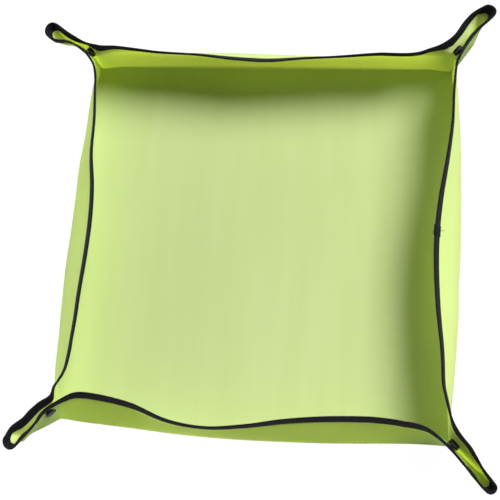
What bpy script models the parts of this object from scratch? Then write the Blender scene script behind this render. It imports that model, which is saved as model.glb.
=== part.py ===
"""A repotting mat: a square of coated cloth with a bound edge, whose four corners
are pinched by press studs, so that its edges stand up as a tray.

The mat is modelled as it lies when it is buttoned up, on the floor plane Z = 0, with
its origin in the middle of the underside. Its front faces -Y. The floor panel and the
four walls are parts of one cut square. Each corner of that square stands out as an ear
of two layers, one belonging to each of the walls that meet there. Undone, the walls
fall outwards about the base creases, and the ear layers swing flat about the lines
where they leave their walls.
"""

import math

import bmesh
import bpy
from mathutils import Matrix, Vector

# The cut square of cloth
SHEET_SIDE = 0.680
SHEET_THICKNESS = 0.0006
CORNER_RADIUS = 0.020

# The walls, as they are folded up
WALL_HEIGHT = 0.080
WALL_BULGE = 0.002
CREASE_GAP = 0.0008

# The ears
LAYER_OFFSET = 0.0022
EAR_FLARE = 0.0040
EAR_FLARE_REACH = 0.024
EAR_BEND_REACH = 0.040
EAR_FLAT_BEYOND_CAP = 0.001
EAR_ROOT = 0.004
FOLD_TRIM_ANGLE = math.radians(3.5)

# The binding, a tape folded over the edge of the cloth
TAPE_LEG = 0.012
TAPE_THICKNESS = 0.0006
FIT_GAP = 0.0003
LAP_LENGTH = 0.014
LAP_PLACE = 0.006

# The press studs
CAP_RADIUS = 0.0075
CAP_HEIGHT = 0.0017
PRONG_RADIUS = 0.0015
HOLE_CLEARANCE = 0.0004
DISC_RADIUS = 0.0072
BOSS_RADIUS = 0.0032
STUD_BASE = 0.0008
BOSS_RISE = 0.0013
PRONG_REACH = 0.0022
CAP_BELOW_TAPE = 0.0020
CAP_FROM_CREASE = 0.0027

# How finely the curved shapes are cut
WALL_STEPS = 28
WALL_ROWS = 4
EAR_STEPS = 6
EAR_ROWS = 5
BEND_STEPS = 5
TURN_STEPS = 16
BEND_SUMS = 8
LAP_STEPS = 2
SHARP_ANGLE = math.radians(40)

HALF_BASE = SHEET_SIDE / 2 - WALL_HEIGHT
HALF_CREASE = HALF_BASE - math.sqrt(2) * LAYER_OFFSET
STUD_HEIGHT_ON_WALL = WALL_HEIGHT - TAPE_LEG - CAP_BELOW_TAPE - CAP_RADIUS
STUD_FROM_CREASE = CAP_FROM_CREASE + CAP_RADIUS
EAR_FLAT = STUD_FROM_CREASE + CAP_RADIUS + EAR_FLAT_BEYOND_CAP
BORE_RADIUS = PRONG_RADIUS + FIT_GAP
HOLE_RADIUS = PRONG_RADIUS + HOLE_CLEARANCE
RECESS_RADIUS = BOSS_RADIUS + FIT_GAP
RECESS_DEPTH = BOSS_RISE
MID_HEIGHT = SHEET_THICKNESS / 2
UP = Vector((0, 0, 1))

WALLS = ("front", "right", "back", "left")
OUTWARD = (Vector((0, -1, 0)), Vector((1, 0, 0)), Vector((0, 1, 0)), Vector((-1, 0, 0)))

# Corner i joins wall i to wall i + 1: how far its crease leans in, and how far its ear
# bends round, anticlockwise as seen from above
CORNER_LEANS = (math.radians(11), math.radians(7), math.radians(14), math.radians(20))
EAR_BENDS = (math.radians(-3), math.radians(4), math.radians(36), math.radians(-2))

# How far the rim hangs in over the floor, in shares of the wall's height, at places from
# -1 to 1 along each wall. The corner creases give the ends of the curve.
RIM_PLACE_SHARES = (-0.92, -0.8, -0.6, -0.4, -0.2, 0, 0.2, 0.4, 0.6, 0.8, 0.92)
RIM_INWARD_SHARES = (
    (0.38, 0.42, 0.30, 0.13, 0.05, 0.10, 0.19, 0.27, 0.32, 0.33, 0.25),
    (0.14, 0.22, 0.25, 0.29, 0.35, 0.34, 0.29, 0.20, 0.13, 0.09, 0.07),
    (0.08, 0.15, 0.18, 0.22, 0.27, 0.30, 0.25, 0.19, 0.16, 0.11, 0.10),
    (0.23, 0.30, 0.34, 0.37, 0.43, 0.45, 0.44, 0.43, 0.40, 0.35, 0.26),
)

CLOTH = "coated_cloth"
TAPE = "binding_tape"
PLASTIC = "black_plastic"

# The frame of each hinge, by the name of its empty
FRAMES = {}


def clear_scene():
    for obj in list(bpy.data.objects):
        bpy.data.objects.remove(obj)


def make_material(name, colour, roughness):
    material = bpy.data.materials.new(name)
    material.use_nodes = True
    shader = material.node_tree.nodes["Principled BSDF"]
    shader.inputs["Base Color"].default_value = (*colour, 1)
    shader.inputs["Roughness"].default_value = roughness
    shader.inputs["Metallic"].default_value = 0
    return material


def along(wall):
    """The direction of a wall's base crease, left to right as seen from outside."""
    out = OUTWARD[wall]
    return Vector((-out.y, out.x, 0))


def corner_of(wall, end):
    return wall if end > 0 else (wall - 1) % 4


def crease_slant(corner):
    """The angle in the cloth between a corner crease and the square across the base crease."""
    return math.asin(math.sin(CORNER_LEANS[corner]) / math.sqrt(2))


def smooth_through(places, values, place):
    """A smooth curve through the values, level at each end."""
    last = len(places) - 1
    i = max(0, min(last - 1, sum(place >= p for p in places) - 1))
    slopes = [
        (values[min(j + 1, last)] - values[max(j - 1, 0)])
        / (places[min(j + 1, last)] - places[max(j - 1, 0)])
        for j in (i, i + 1)
    ]
    span = places[i + 1] - places[i]
    t = max(0, min(1, (place - places[i]) / span))
    return (
        (2 * t**3 - 3 * t**2 + 1) * values[i]
        + (t**3 - 2 * t**2 + t) * span * slopes[0]
        + (3 * t**2 - 2 * t**3) * values[i + 1]
        + (t**3 - t**2) * span * slopes[1]
    )


def crease_reach(wall, end, height):
    """How far along the wall its corner crease lies, at a height up the cloth."""
    return HALF_CREASE - height * math.tan(crease_slant(corner_of(wall, end)))


def wall_point(wall, run, height):
    """The middle of the cloth at a run along the wall and a height up it."""
    low, high = -crease_reach(wall, -1, height), crease_reach(wall, 1, height)
    place = 2 * (run - low) / (high - low) - 1
    ends = [math.tan(crease_slant(corner_of(wall, end))) for end in (-1, 1)]
    share = smooth_through(
        (-1, *RIM_PLACE_SHARES, 1), (ends[0], *RIM_INWARD_SHARES[wall], ends[1]), place
    )
    lean = math.asin(share)
    up_share = height / WALL_HEIGHT
    bulge = WALL_BULGE * 4 * up_share * (1 - up_share) * max(0, 1 - place**2)
    out = height * -math.sin(lean) + bulge * math.cos(lean)
    rise = height * math.cos(lean) + bulge * math.sin(lean)
    return OUTWARD[wall] * (HALF_BASE + out) + along(wall) * run + UP * (MID_HEIGHT + rise)


def corner_frame(wall, end):
    """The foot of a corner crease on this wall, its direction, the way the ear goes,
    and the ear's normal towards this wall."""
    lean = CORNER_LEANS[corner_of(wall, end)]
    diagonal = (OUTWARD[wall] + along(wall) * end).normalized()
    foot = OUTWARD[wall] * HALF_BASE + along(wall) * end * HALF_CREASE + UP * MID_HEIGHT
    crease = diagonal * -math.sin(lean) + UP * math.cos(lean)
    ear = diagonal * math.cos(lean) + UP * math.sin(lean)
    side = (OUTWARD[wall] - along(wall) * end).normalized()
    return foot, crease, ear, side


def bend_share(past):
    """The share of its whole bend that an ear has reached, past its flat part."""
    return math.sin(math.pi / 2 * min(1, past / EAR_BEND_REACH))


def ear_point(wall, end, run, height):
    """The middle of an ear layer. run is measured outwards from the foot of the crease,
    in the flat cloth, and height up from the base crease."""
    corner = corner_of(wall, end)
    foot, crease, ear, side = corner_frame(wall, end)
    slant = crease_slant(corner)
    radius = math.hypot(run, height)
    angle = math.atan2(run, height) + slant
    out, rise = radius * math.sin(angle), radius * math.cos(angle)
    # Past the press stud, the bend turns both layers of an ear the same way
    bend = -end * EAR_BENDS[corner]
    past = max(0, out - EAR_FLAT)
    ahead, across = out - past, 0
    for i in range(BEND_SUMS):
        turn = bend * bend_share((i + 0.5) / BEND_SUMS * past)
        ahead += math.cos(turn) * past / BEND_SUMS
        across += math.sin(turn) * past / BEND_SUMS
    turn = bend * bend_share(past)
    from_fold = radius * math.sin(math.pi / 4 + slant - angle)
    opening = min(1, max(0, from_fold) / EAR_FLARE_REACH)
    flare = EAR_FLARE * opening * (past / (WALL_HEIGHT - EAR_FLAT)) ** 2
    ahead -= flare * math.sin(turn)
    across += flare * math.cos(turn)
    return foot + crease * rise + ear * ahead + side * across


def cloth_normal(point, run, height):
    """The outward normal of a surface of the cloth, from its own slope."""
    step = SHEET_THICKNESS / 4
    slope_run = point(run + step, height) - point(run - step, height)
    slope_up = point(run, height + step) - point(run, height - step)
    return slope_run.cross(slope_up).normalized()


def wall_surface(wall):
    return lambda run, height: wall_point(wall, run, height)


def ear_surface(wall, end):
    """An ear layer in its wall's own terms, so that its outward side is the wall's."""
    return lambda run, height: ear_point(wall, end, run * end, height)


def rim_row(corner, inset):
    """Flat points along the rim of an ear, at an inset from it: from beside the corner
    crease, straight and then round, to the trimmed fold."""
    slant = crease_slant(corner)
    height = WALL_HEIGHT - inset
    inner = WALL_HEIGHT - CORNER_RADIUS
    radius = CORNER_RADIUS - inset
    start = -height * math.tan(slant) + CREASE_GAP / math.cos(slant)
    straight = [start + (inner - start) * i / EAR_STEPS for i in range(EAR_STEPS)]
    trim = math.pi / 4 - FOLD_TRIM_ANGLE
    reach = inner * (math.sin(trim) + math.cos(trim))
    hit = reach + math.sqrt(reach**2 - 2 * inner**2 + radius**2)
    last = math.atan2(hit * math.cos(trim) - inner, hit * math.sin(trim) - inner)
    bends = [math.pi / 2 + (last - math.pi / 2) * i / BEND_STEPS for i in range(BEND_STEPS + 1)]
    rounded = [(inner + radius * math.cos(b), inner + radius * math.sin(b)) for b in bends]
    return [(x, height) for x in straight] + rounded


def add_object(name, bm, material, parent):
    """Makes an object from a mesh built in the mat's own frame, and hangs it on the
    empty of the body that it moves with."""
    mesh = bpy.data.meshes.new(name)
    bm.to_mesh(mesh)
    bm.free()
    obj = bpy.data.objects.new(name, mesh)
    bpy.context.collection.objects.link(obj)
    if material:
        mesh.materials.append(bpy.data.materials[material])
    if parent:
        mesh.transform(FRAMES[parent.name].inverted())
        obj.parent = parent
    return obj


def add_hinge(name, foot, direction, parent=None):
    """An empty on a hinge line, with its Z along the line."""
    frame = Matrix.Translation(foot) @ direction.to_track_quat("Z", "Y").to_matrix().to_4x4()
    empty = bpy.data.objects.new(name, None)
    bpy.context.collection.objects.link(empty)
    empty.empty_display_size = WALL_HEIGHT / 4
    FRAMES[name] = frame
    if parent:
        empty.parent = parent
        empty.matrix_basis = FRAMES[parent.name].inverted() @ frame
    else:
        empty.matrix_basis = frame
    return empty


def panel(name, surface, rows, parent):
    """A panel of cloth: a net of flat points laid on the surface, given its thickness."""
    bm = bmesh.new()
    net = [[bm.verts.new(surface(x, y)) for x, y in row] for row in rows]
    for below, above in zip(net, net[1:]):
        for i in range(len(below) - 1):
            bm.faces.new((below[i], below[i + 1], above[i + 1]))
            bm.faces.new((below[i], above[i + 1], above[i]))
    obj = add_object(name, bm, CLOTH, parent)
    thicken = obj.modifiers.new("Thickness", "SOLIDIFY")
    thicken.thickness = SHEET_THICKNESS
    thicken.offset = 0
    obj.data.shade_smooth()
    return obj


def tape_section(half_gap, edge_gap, thickness):
    """A folded tape round the cloth's edge: pairs of inset from the edge and offset
    across the cloth, once round."""
    outer, edge = half_gap + thickness, -edge_gap - thickness
    round_off = thickness
    one_side = [
        (TAPE_LEG, outer),
        (edge + round_off, outer),
        (edge, outer - round_off),
    ]
    mirrored = [(inset, -offset) for inset, offset in reversed(one_side)]
    inside = [
        (TAPE_LEG, -half_gap),
        (-edge_gap, -half_gap),
        (-edge_gap, half_gap),
        (TAPE_LEG, half_gap),
    ]
    return one_side + mirrored + inside


def swept_tape(name, surface, section, row_at, parent):
    """A tape swept along the rim. row_at gives the flat points at an inset."""
    rows = {inset: row_at(inset) for inset, _ in section}
    count = len(rows[section[0][0]])
    bm = bmesh.new()
    rings = []
    for i in range(count):
        ring = []
        for inset, offset in section:
            x, y = rows[inset][i]
            ring.append(bm.verts.new(surface(x, y) + cloth_normal(surface, x, y) * offset))
        rings.append(ring)
    size = len(section)
    for first, second in zip(rings, rings[1:]):
        for j in range(size):
            k = (j + 1) % size
            # Split as the cloth's own net is: from deeper on one row to nearer the edge
            # on the next, so that tape and cloth stay parallel
            if section[j][0] >= section[k][0]:
                bm.faces.new((first[j], first[k], second[k]))
                bm.faces.new((first[j], second[k], second[j]))
            else:
                bm.faces.new((first[j], first[k], second[j]))
                bm.faces.new((first[k], second[k], second[j]))
    bm.faces.new(rings[0])
    bm.faces.new(list(reversed(rings[-1])))
    bmesh.ops.recalc_face_normals(bm, faces=bm.faces)
    obj = add_object(name, bm, TAPE, parent)
    obj.data.set_sharp_from_angle(angle=SHARP_ANGLE)
    return obj


def turned(name, profile, frame, material, parent):
    """A piece turned round the Z axis of a frame, from pairs of radius and height."""
    bm = bmesh.new()
    verts = [bm.verts.new((r, 0, z)) for r, z in profile]
    closed = profile[0][0] > 0
    pairs = list(zip(verts, verts[1:])) + ([(verts[-1], verts[0])] if closed else [])
    edges = [bm.edges.new(pair) for pair in pairs]
    bmesh.ops.spin(
        bm, geom=verts + edges, cent=(0, 0, 0), axis=(0, 0, 1),
        angle=2 * math.pi, steps=TURN_STEPS, use_merge=True,
    )
    bmesh.ops.remove_doubles(bm, verts=bm.verts, dist=FIT_GAP / 100)
    bmesh.ops.recalc_face_normals(bm, faces=bm.faces)
    bm.transform(frame)
    obj = add_object(name, bm, material, parent)
    obj.data.shade_smooth()
    obj.data.set_sharp_from_angle(angle=SHARP_ANGLE)
    return obj


def floor_panel():
    half = HALF_BASE - CREASE_GAP
    bm = bmesh.new()
    bmesh.ops.create_cube(bm, size=1)
    bmesh.ops.scale(bm, vec=(2 * half, 2 * half, SHEET_THICKNESS), verts=bm.verts)
    bmesh.ops.translate(bm, vec=UP * MID_HEIGHT, verts=bm.verts)
    add_object("mat_floor", bm, CLOTH, None)


def wall_run_at(wall, share, height):
    """The run at a share of the wall's width, 0 to 1, between its corner creases."""
    ends = []
    for end in (-1, 1):
        slant = crease_slant(corner_of(wall, end))
        ends.append(end * (crease_reach(wall, end, height) - CREASE_GAP / math.cos(slant)))
    return ends[0] + (ends[1] - ends[0]) * share


def make_wall(wall, parent):
    surface = wall_surface(wall)
    shares = [i / WALL_STEPS for i in range(WALL_STEPS + 1)]
    below_tape = WALL_HEIGHT - TAPE_LEG - CREASE_GAP
    heights = [CREASE_GAP + below_tape * j / WALL_ROWS for j in range(WALL_ROWS + 1)]
    rows = [
        [(wall_run_at(wall, share, height), height) for share in shares]
        for height in [*heights, WALL_HEIGHT]
    ]
    panel(f"wall_{WALLS[wall]}", surface, rows, parent)

    def rim(inset):
        height = WALL_HEIGHT - inset
        return [(wall_run_at(wall, share, height), height) for share in shares]

    section = tape_section(MID_HEIGHT + FIT_GAP, FIT_GAP, TAPE_THICKNESS)
    swept_tape(f"binding_{WALLS[wall]}", surface, section, rim, parent)


def make_lap(wall, parent):
    """The end of the tape, folded over its beginning where the binding was closed."""
    surface = wall_surface(wall)
    half_gap = MID_HEIGHT + FIT_GAP + TAPE_THICKNESS + FIT_GAP
    edge_gap = FIT_GAP + TAPE_THICKNESS + FIT_GAP
    section = tape_section(half_gap, edge_gap, TAPE_THICKNESS)

    def rim(inset):
        height = WALL_HEIGHT - inset
        shares = [i / LAP_STEPS - 0.5 for i in range(LAP_STEPS + 1)]
        return [(LAP_PLACE + LAP_LENGTH * share, height) for share in shares]

    swept_tape("binding_lap", surface, section, rim, parent)


def stud_frame(wall, end):
    """The press stud's axis on an ear layer: Z points out through the layer, and the
    origin lies midway between the two layers."""
    corner = corner_of(wall, end)
    slant = crease_slant(corner)
    radius = math.hypot(STUD_FROM_CREASE, STUD_HEIGHT_ON_WALL)
    angle = math.atan2(STUD_FROM_CREASE, STUD_HEIGHT_ON_WALL) - slant
    run, height = radius * math.sin(angle) * end, radius * math.cos(angle)
    surface = ear_surface(wall, end)
    normal = cloth_normal(surface, run, height)
    middle = surface(run, height) - normal * LAYER_OFFSET
    return Matrix.Translation(middle) @ normal.to_track_quat("Z", "Y").to_matrix().to_4x4()


def cap_profile():
    under = LAYER_OFFSET + MID_HEIGHT + FIT_GAP
    return (
        (0, under - PRONG_REACH),
        (PRONG_RADIUS, under - PRONG_REACH),
        (PRONG_RADIUS, under),
        (CAP_RADIUS * 0.94, under),
        (CAP_RADIUS, under + CAP_HEIGHT * 0.25),
        (CAP_RADIUS * 0.90, under + CAP_HEIGHT * 0.80),
        (CAP_RADIUS * 0.66, under + CAP_HEIGHT),
        (CAP_RADIUS * 0.30, under + CAP_HEIGHT * 0.82),
        (0, under + CAP_HEIGHT * 0.78),
    )


def stud_profile():
    """The half with a boss. Heights fall towards the other layer."""
    back = LAYER_OFFSET - MID_HEIGHT - FIT_GAP
    face = back - STUD_BASE
    return (
        (BORE_RADIUS, face - BOSS_RISE),
        (BOSS_RADIUS * 0.85, face - BOSS_RISE),
        (BOSS_RADIUS, face - BOSS_RISE * 0.7),
        (BOSS_RADIUS, face),
        (DISC_RADIUS, face),
        (DISC_RADIUS, back),
        (BORE_RADIUS, back),
    )


def socket_profile():
    """The half with a recess, which the boss enters."""
    back = LAYER_OFFSET - MID_HEIGHT - FIT_GAP
    face = STUD_BASE + FIT_GAP - back
    return (
        (BORE_RADIUS, face + RECESS_DEPTH),
        (RECESS_RADIUS, face + RECESS_DEPTH),
        (RECESS_RADIUS, face),
        (DISC_RADIUS, face),
        (DISC_RADIUS, back),
        (BORE_RADIUS, back),
    )


def make_ear(wall, end, parent):
    """One layer of an ear, its binding and its half of the press stud."""
    corner = corner_of(wall, end)
    neighbour = WALLS[(wall + end) % 4]
    name = f"{WALLS[wall]}_{neighbour}"
    slant = crease_slant(corner)
    surface = ear_surface(wall, end)

    def rim(inset):
        return [(x * end, y) for x, y in rim_row(corner, inset)]

    under_tape = rim(TAPE_LEG)
    first = math.asin(CREASE_GAP / EAR_ROOT) - slant
    last = math.pi / 4 - FOLD_TRIM_ANGLE
    count = len(under_tape) - 1
    root = []
    for i in range(count + 1):
        angle = first + (last - first) * i / count
        root.append((EAR_ROOT * math.sin(angle) * end, EAR_ROOT * math.cos(angle)))
    rows = []
    for j in range(EAR_ROWS + 1):
        share = j / EAR_ROWS
        rows.append(
            [
                (near[0] + (far[0] - near[0]) * share, near[1] + (far[1] - near[1]) * share)
                for near, far in zip(root, under_tape)
            ]
        )
    rows.append(rim(0))
    layer = panel(f"ear_{name}", surface, rows, parent)

    frame = stud_frame(wall, end)
    bm = bmesh.new()
    bmesh.ops.create_cone(
        bm, cap_ends=True, segments=TURN_STEPS, radius1=HOLE_RADIUS, radius2=HOLE_RADIUS,
        depth=2 * CAP_HEIGHT, matrix=frame @ Matrix.Translation(UP * LAYER_OFFSET),
    )
    cutter = add_object(f"hole_{name}", bm, None, parent)
    cutter.hide_render = True
    cutter.display_type = "WIRE"
    hole = layer.modifiers.new("Prong hole", "BOOLEAN")
    hole.operation = "DIFFERENCE"
    hole.object = cutter

    section = tape_section(MID_HEIGHT + FIT_GAP, FIT_GAP, TAPE_THICKNESS)
    swept_tape(f"ear_binding_{name}", surface, section, rim, parent)

    turned(f"snap_cap_{name}", cap_profile(), frame, PLASTIC, parent)
    if wall % 2 == 0:
        turned(f"snap_stud_{name}", stud_profile(), frame, PLASTIC, parent)
    else:
        turned(f"snap_socket_{name}", socket_profile(), frame, PLASTIC, parent)


def main():
    clear_scene()
    make_material(CLOTH, (0.56, 0.76, 0.20), 0.45)
    make_material(TAPE, (0.012, 0.013, 0.016), 0.85)
    make_material(PLASTIC, (0.015, 0.015, 0.017), 0.35)
    floor_panel()
    for wall, wall_name in enumerate(WALLS):
        foot = OUTWARD[wall] * HALF_BASE + UP * MID_HEIGHT
        fold = add_hinge(f"fold_{wall_name}", foot, along(wall))
        make_wall(wall, fold)
        if wall_name == "right":
            make_lap(wall, fold)
        for end in (-1, 1):
            crease_foot, crease, _, _ = corner_frame(wall, end)
            neighbour = WALLS[(wall + end) % 4]
            ear_fold = add_hinge(f"crease_{wall_name}_{neighbour}", crease_foot, crease, fold)
            make_ear(wall, end, ear_fold)


main()
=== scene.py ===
# %% [markdown]
# # A repotting mat
#
# The mat is one square of coated cloth, bound all round with black tape. Four press studs
# pinch its corners, so that its edges stand up and it becomes a shallow tray. The packed
# CAD model is loaded first. It is the fixed frame that every piece below is fitted to.

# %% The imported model
import math

import bmesh
import bpy
import numpy as np
from mathutils import Matrix, Vector


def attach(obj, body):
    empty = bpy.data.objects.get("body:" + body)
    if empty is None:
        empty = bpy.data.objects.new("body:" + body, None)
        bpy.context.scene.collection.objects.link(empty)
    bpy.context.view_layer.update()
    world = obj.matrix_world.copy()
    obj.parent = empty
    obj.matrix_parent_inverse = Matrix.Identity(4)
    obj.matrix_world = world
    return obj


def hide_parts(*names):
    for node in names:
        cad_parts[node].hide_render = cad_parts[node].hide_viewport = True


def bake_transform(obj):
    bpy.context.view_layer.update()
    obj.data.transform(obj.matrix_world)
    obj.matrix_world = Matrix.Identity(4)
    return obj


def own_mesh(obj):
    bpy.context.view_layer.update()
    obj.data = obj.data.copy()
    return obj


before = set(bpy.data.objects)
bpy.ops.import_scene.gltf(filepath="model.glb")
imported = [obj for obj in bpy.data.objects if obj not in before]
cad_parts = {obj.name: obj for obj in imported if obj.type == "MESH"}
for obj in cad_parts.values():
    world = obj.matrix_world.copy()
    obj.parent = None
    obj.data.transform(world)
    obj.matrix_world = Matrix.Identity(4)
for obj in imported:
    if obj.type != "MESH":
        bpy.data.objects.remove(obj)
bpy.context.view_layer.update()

# %% [markdown]
# ## One formula for the whole cloth
#
# The cloth is bent, but it is never cut. So one function gives the place of any point of
# the flat square once it is folded, and every piece of cloth and tape is laid on it.
# Pieces made like that meet without a gap. A point is named by the side of the mat that
# it belongs to, its run along that side, and its height up from the base crease, which is
# below zero on the floor of the tray. Cutting the mat up into ready-made boxes and tubes
# would be quicker, but their edges would never follow each other round these corners.
# These are the sizes, in metres.

# %% Sizes of the folded square
SHEET_SIDE = 0.680
THICKNESS = 0.0006
WALL = 0.080  # how high the cloth stands up from the base crease
CORNER_RADIUS = 0.020  # of the flat square
HALF = SHEET_SIDE / 2 - WALL
LAYER = 0.0022  # half the space between the two layers of an ear
FOOT = HALF - math.sqrt(2) * LAYER  # how far along a side its corner creases stand
MIDDLE = THICKNESS / 2
SIDES = ("front", "right", "back", "left")
OUTWARD = np.array([(0, -1, 0), (1, 0, 0), (0, 1, 0), (-1, 0, 0)], float)
ALONG = np.array([(1, 0, 0), (0, 1, 0), (-1, 0, 0), (0, -1, 0)], float)
UP = np.array((0.0, 0.0, 1.0))

# Corner i joins side i to side i + 1. Its crease leans in over the floor, and its ear
# bends round, anticlockwise as seen from above. The slant is the angle that the crease
# then has in the flat cloth.
CORNER_LEAN = np.radians((11, 7, 14, 20))
EAR_BEND = np.radians((-3, 4, 36, -2))
SLANT = np.arcsin(np.sin(CORNER_LEAN) / math.sqrt(2))
print("half of the floor", HALF, "slants", np.degrees(SLANT).round(2))

# %% [markdown]
# The rim of each wall hangs in over the floor by a share of the wall's height, and the wall
# bulges out between its foot and its rim. Both are given at a few places along the wall,
# from -1 at one end to 1 at the other, and a smooth curve goes through them. The bulge
# rises and falls over the wall's height, partly as a bow and partly as a rounder belly.

# %% The rims
PLACES = (-0.92, -0.8, -0.6, -0.4, -0.2, 0, 0.2, 0.4, 0.6, 0.8, 0.92)
INWARD = (  # a row for each side
    (0.42, 0.42, 0.32, 0.11, 0.04, 0.11, 0.23, 0.31, 0.35, 0.36, 0.33),
    (0.18, 0.22, 0.25, 0.32, 0.36, 0.36, 0.30, 0.20, 0.12, 0.08, 0.07),
    (0.12, 0.15, 0.17, 0.22, 0.26, 0.31, 0.28, 0.21, 0.17, 0.12, 0.12),
    (0.27, 0.30, 0.35, 0.37, 0.45, 0.48, 0.47, 0.44, 0.42, 0.36, 0.22),
)
EVEN_BULGE = (2,) * len(PLACES)
BULGE = np.array([
    EVEN_BULGE,
    EVEN_BULGE,
    (1.4, 2.9, 4.8, 7.3, 10.5, 14.2, 14.3, 11.5, 8.2, 5.2, 2.5),
    EVEN_BULGE,
]) / 1000
BELLY_BOW = 0.35


def smooth(x):
    """0 below 0, 1 above 1, and a smooth step between."""
    t = np.clip(x, 0, 1)
    return t * t * (3 - 2 * t)


def curve_through(places, values, x):
    """A smooth curve through the values, level at each end."""
    places, values = np.array(places), np.array(values)
    last = len(places) - 1
    ahead = np.minimum(np.arange(last + 1) + 1, last)
    behind = np.maximum(np.arange(last + 1) - 1, 0)
    slopes = (values[ahead] - values[behind]) / (places[ahead] - places[behind])
    i = np.clip(np.searchsorted(places, x, side="right") - 1, 0, last - 1)
    span = places[i + 1] - places[i]
    t = np.clip((x - places[i]) / span, 0, 1)
    return (
        (2 * t**3 - 3 * t**2 + 1) * values[i]
        + (t**3 - 2 * t**2 + t) * span * slopes[i]
        + (3 * t**2 - 2 * t**3) * values[i + 1]
        + (t**3 - t**2) * span * slopes[i + 1]
    )


def along_side(side, values, place, ends=(0, 0)):
    """A side's values, given at PLACES and at its two ends, at any place along it."""
    return curve_through((-1, *PLACES, 1), (ends[0], *values[side], ends[1]), place)


def corner_of(side, end):
    """The corner at one end of a side: 1 is the end that ALONG points to, -1 the other."""
    return side if end > 0 else (side - 1) % 4


def reach(side, end, height):
    """How far along a side its corner crease lies, at a height up the cloth."""
    return FOOT - height * math.tan(SLANT[corner_of(side, end)])


def wall_point(side, run, height):
    """A point of the wall between its two corner creases."""
    low, high = -reach(side, -1, height), reach(side, 1, height)
    place = 2 * (run - low) / (high - low) - 1
    ends = [math.tan(SLANT[corner_of(side, end)]) for end in (-1, 1)]
    lean = np.arcsin(along_side(side, INWARD, place, ends))
    up = height / WALL
    bow, belly = 4 * up * (1 - up), np.sin(math.pi * up) ** 2
    bulge = along_side(side, BULGE, place) * (BELLY_BOW * bow + (1 - BELLY_BOW) * belly)
    out = bulge * np.cos(lean) - height * np.sin(lean)
    rise = height * np.cos(lean) + bulge * np.sin(lean)
    return (
        OUTWARD[side] * (HALF + out)[..., None]
        + ALONG[side] * run[..., None]
        + UP * (MIDDLE + rise)[..., None]
    )


print("middle of the front rim", wall_point(0, np.array(0.0), np.array(WALL)).round(4))

# %% [markdown]
# At each corner the cloth stands out as an ear of two layers, joined by a fold that runs
# from the floor's corner to the ear's tip. Across the fold the cloth turns a half circle,
# which is narrow where the press stud holds it and wider at the open tip. Past the stud
# the ear may bend or sway to one side, and it may be crumpled a little shorter. It is all
# worked out from a point's distance from the fold and its distance up the fold.

# %% The ears
ROUND_X = SHEET_SIDE / 2 - CORNER_RADIUS - FOOT  # where the flat square's corner begins
ROUND_Y = WALL - CORNER_RADIUS
EAR_FLAT = 0.0187  # the ear is straight this far, past its stud
BEND_REACH = 0.040  # and has taken its whole bend this much further on
TIP_HALF = (0.0064, 0.0093, 0.0112, 0.0090)  # half the width of each open tip
TIP_FROM, TIP_OVER = 0.055, 0.042
SHORTER = (0.92, 1.0, 0.98, 0.83)
SWAY_AT = (0.050, 0.062, 0.074, 0.086, 0.100)
SWAY = np.array([
    (0, -0.2, -0.5, 1.7, 1.5),
    (0, -3.1, -6.5, -7.5, -5.3),
    (0, -4.1, -3.6, -1.0, 3.0),
    (0, -1.6, -3.0, -1.4, -2.8),
]) / 1000
BEND_SUMS = 8


def corner_frame(side, end):
    """The foot of a corner crease, the crease, the way the ear goes, and the ear's
    normal towards this side."""
    lean = CORNER_LEAN[corner_of(side, end)]
    diagonal = (OUTWARD[side] + ALONG[side] * end) / math.sqrt(2)
    foot = OUTWARD[side] * HALF + ALONG[side] * end * FOOT + UP * MIDDLE
    crease = diagonal * -math.sin(lean) + UP * math.cos(lean)
    ear = diagonal * math.cos(lean) + UP * math.sin(lean)
    towards = (OUTWARD[side] - ALONG[side] * end) / math.sqrt(2)
    return foot, crease, ear, towards


def ear_point(side, end, x, y):
    """x runs outwards from the foot of the crease, y is the height up the cloth."""
    corner = corner_of(side, end)
    foot, crease, ear, towards = corner_frame(side, end)
    from_fold = (y - x) / math.sqrt(2) + LAYER
    up_fold = (y + x) / math.sqrt(2) - LAYER
    near = np.abs(from_fold)
    half = LAYER + (TIP_HALF[corner] - LAYER) * smooth((up_fold - TIP_FROM) / TIP_OVER)
    turn = np.clip(near / half, 0, math.pi / 2)
    depth = half * (math.pi / 2 - np.cos(turn)) - LAYER
    depth = depth + np.clip(near - half * math.pi / 2, 0, None)
    angle = math.pi / 4 + SLANT[corner]
    out = (up_fold + LAYER) * math.sin(angle) - depth * math.cos(angle)
    rise = (up_fold + LAYER) * math.cos(angle) + depth * math.sin(angle)
    over = np.clip(out - EAR_FLAT, 0, None)
    past = over * SHORTER[corner]
    bend = -end * EAR_BEND[corner]
    ahead, across = out - over, 0 * out

    def bend_at(distance):
        return bend * np.sin(math.pi / 2 * np.clip(distance / BEND_REACH, 0, 1))

    for i in range(BEND_SUMS):
        here = bend_at((i + 0.5) / BEND_SUMS * past)
        ahead = ahead + np.cos(here) * past / BEND_SUMS
        across = across + np.sin(here) * past / BEND_SUMS
    here = bend_at(past)
    across = across + end * curve_through(SWAY_AT, SWAY[corner], up_fold)
    parted = np.sign(from_fold) * half * np.sin(turn)
    return (
        foot
        + crease * rise[..., None]
        + ear * (ahead - parted * np.sin(here))[..., None]
        + towards * (across + parted * np.cos(here) - LAYER)[..., None]
    )


print("tip of the front right ear", ear_point(0, 1, np.array(0.0772), np.array(0.0741)))

# %% [markdown]
# Real cloth never turns sharply. Where two surfaces meet in a crease, a smooth ramp takes
# the place of the sharp one: it is flat before the crease, it rises with the distance
# after it, and it is rounded between. A bevel on the finished mesh would do as well, but
# each piece would need the same bevel where it meets the next. The corner creases are
# tight beside the press stud and open out wide at the rim.

# %% Rounded corner creases
CREASE_ROUND = 0.004
RIM_ROUND = (0.036, 0.034, 0.026, 0.014)  # for each corner
RIM_ROUND_FROM = 0.060


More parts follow.
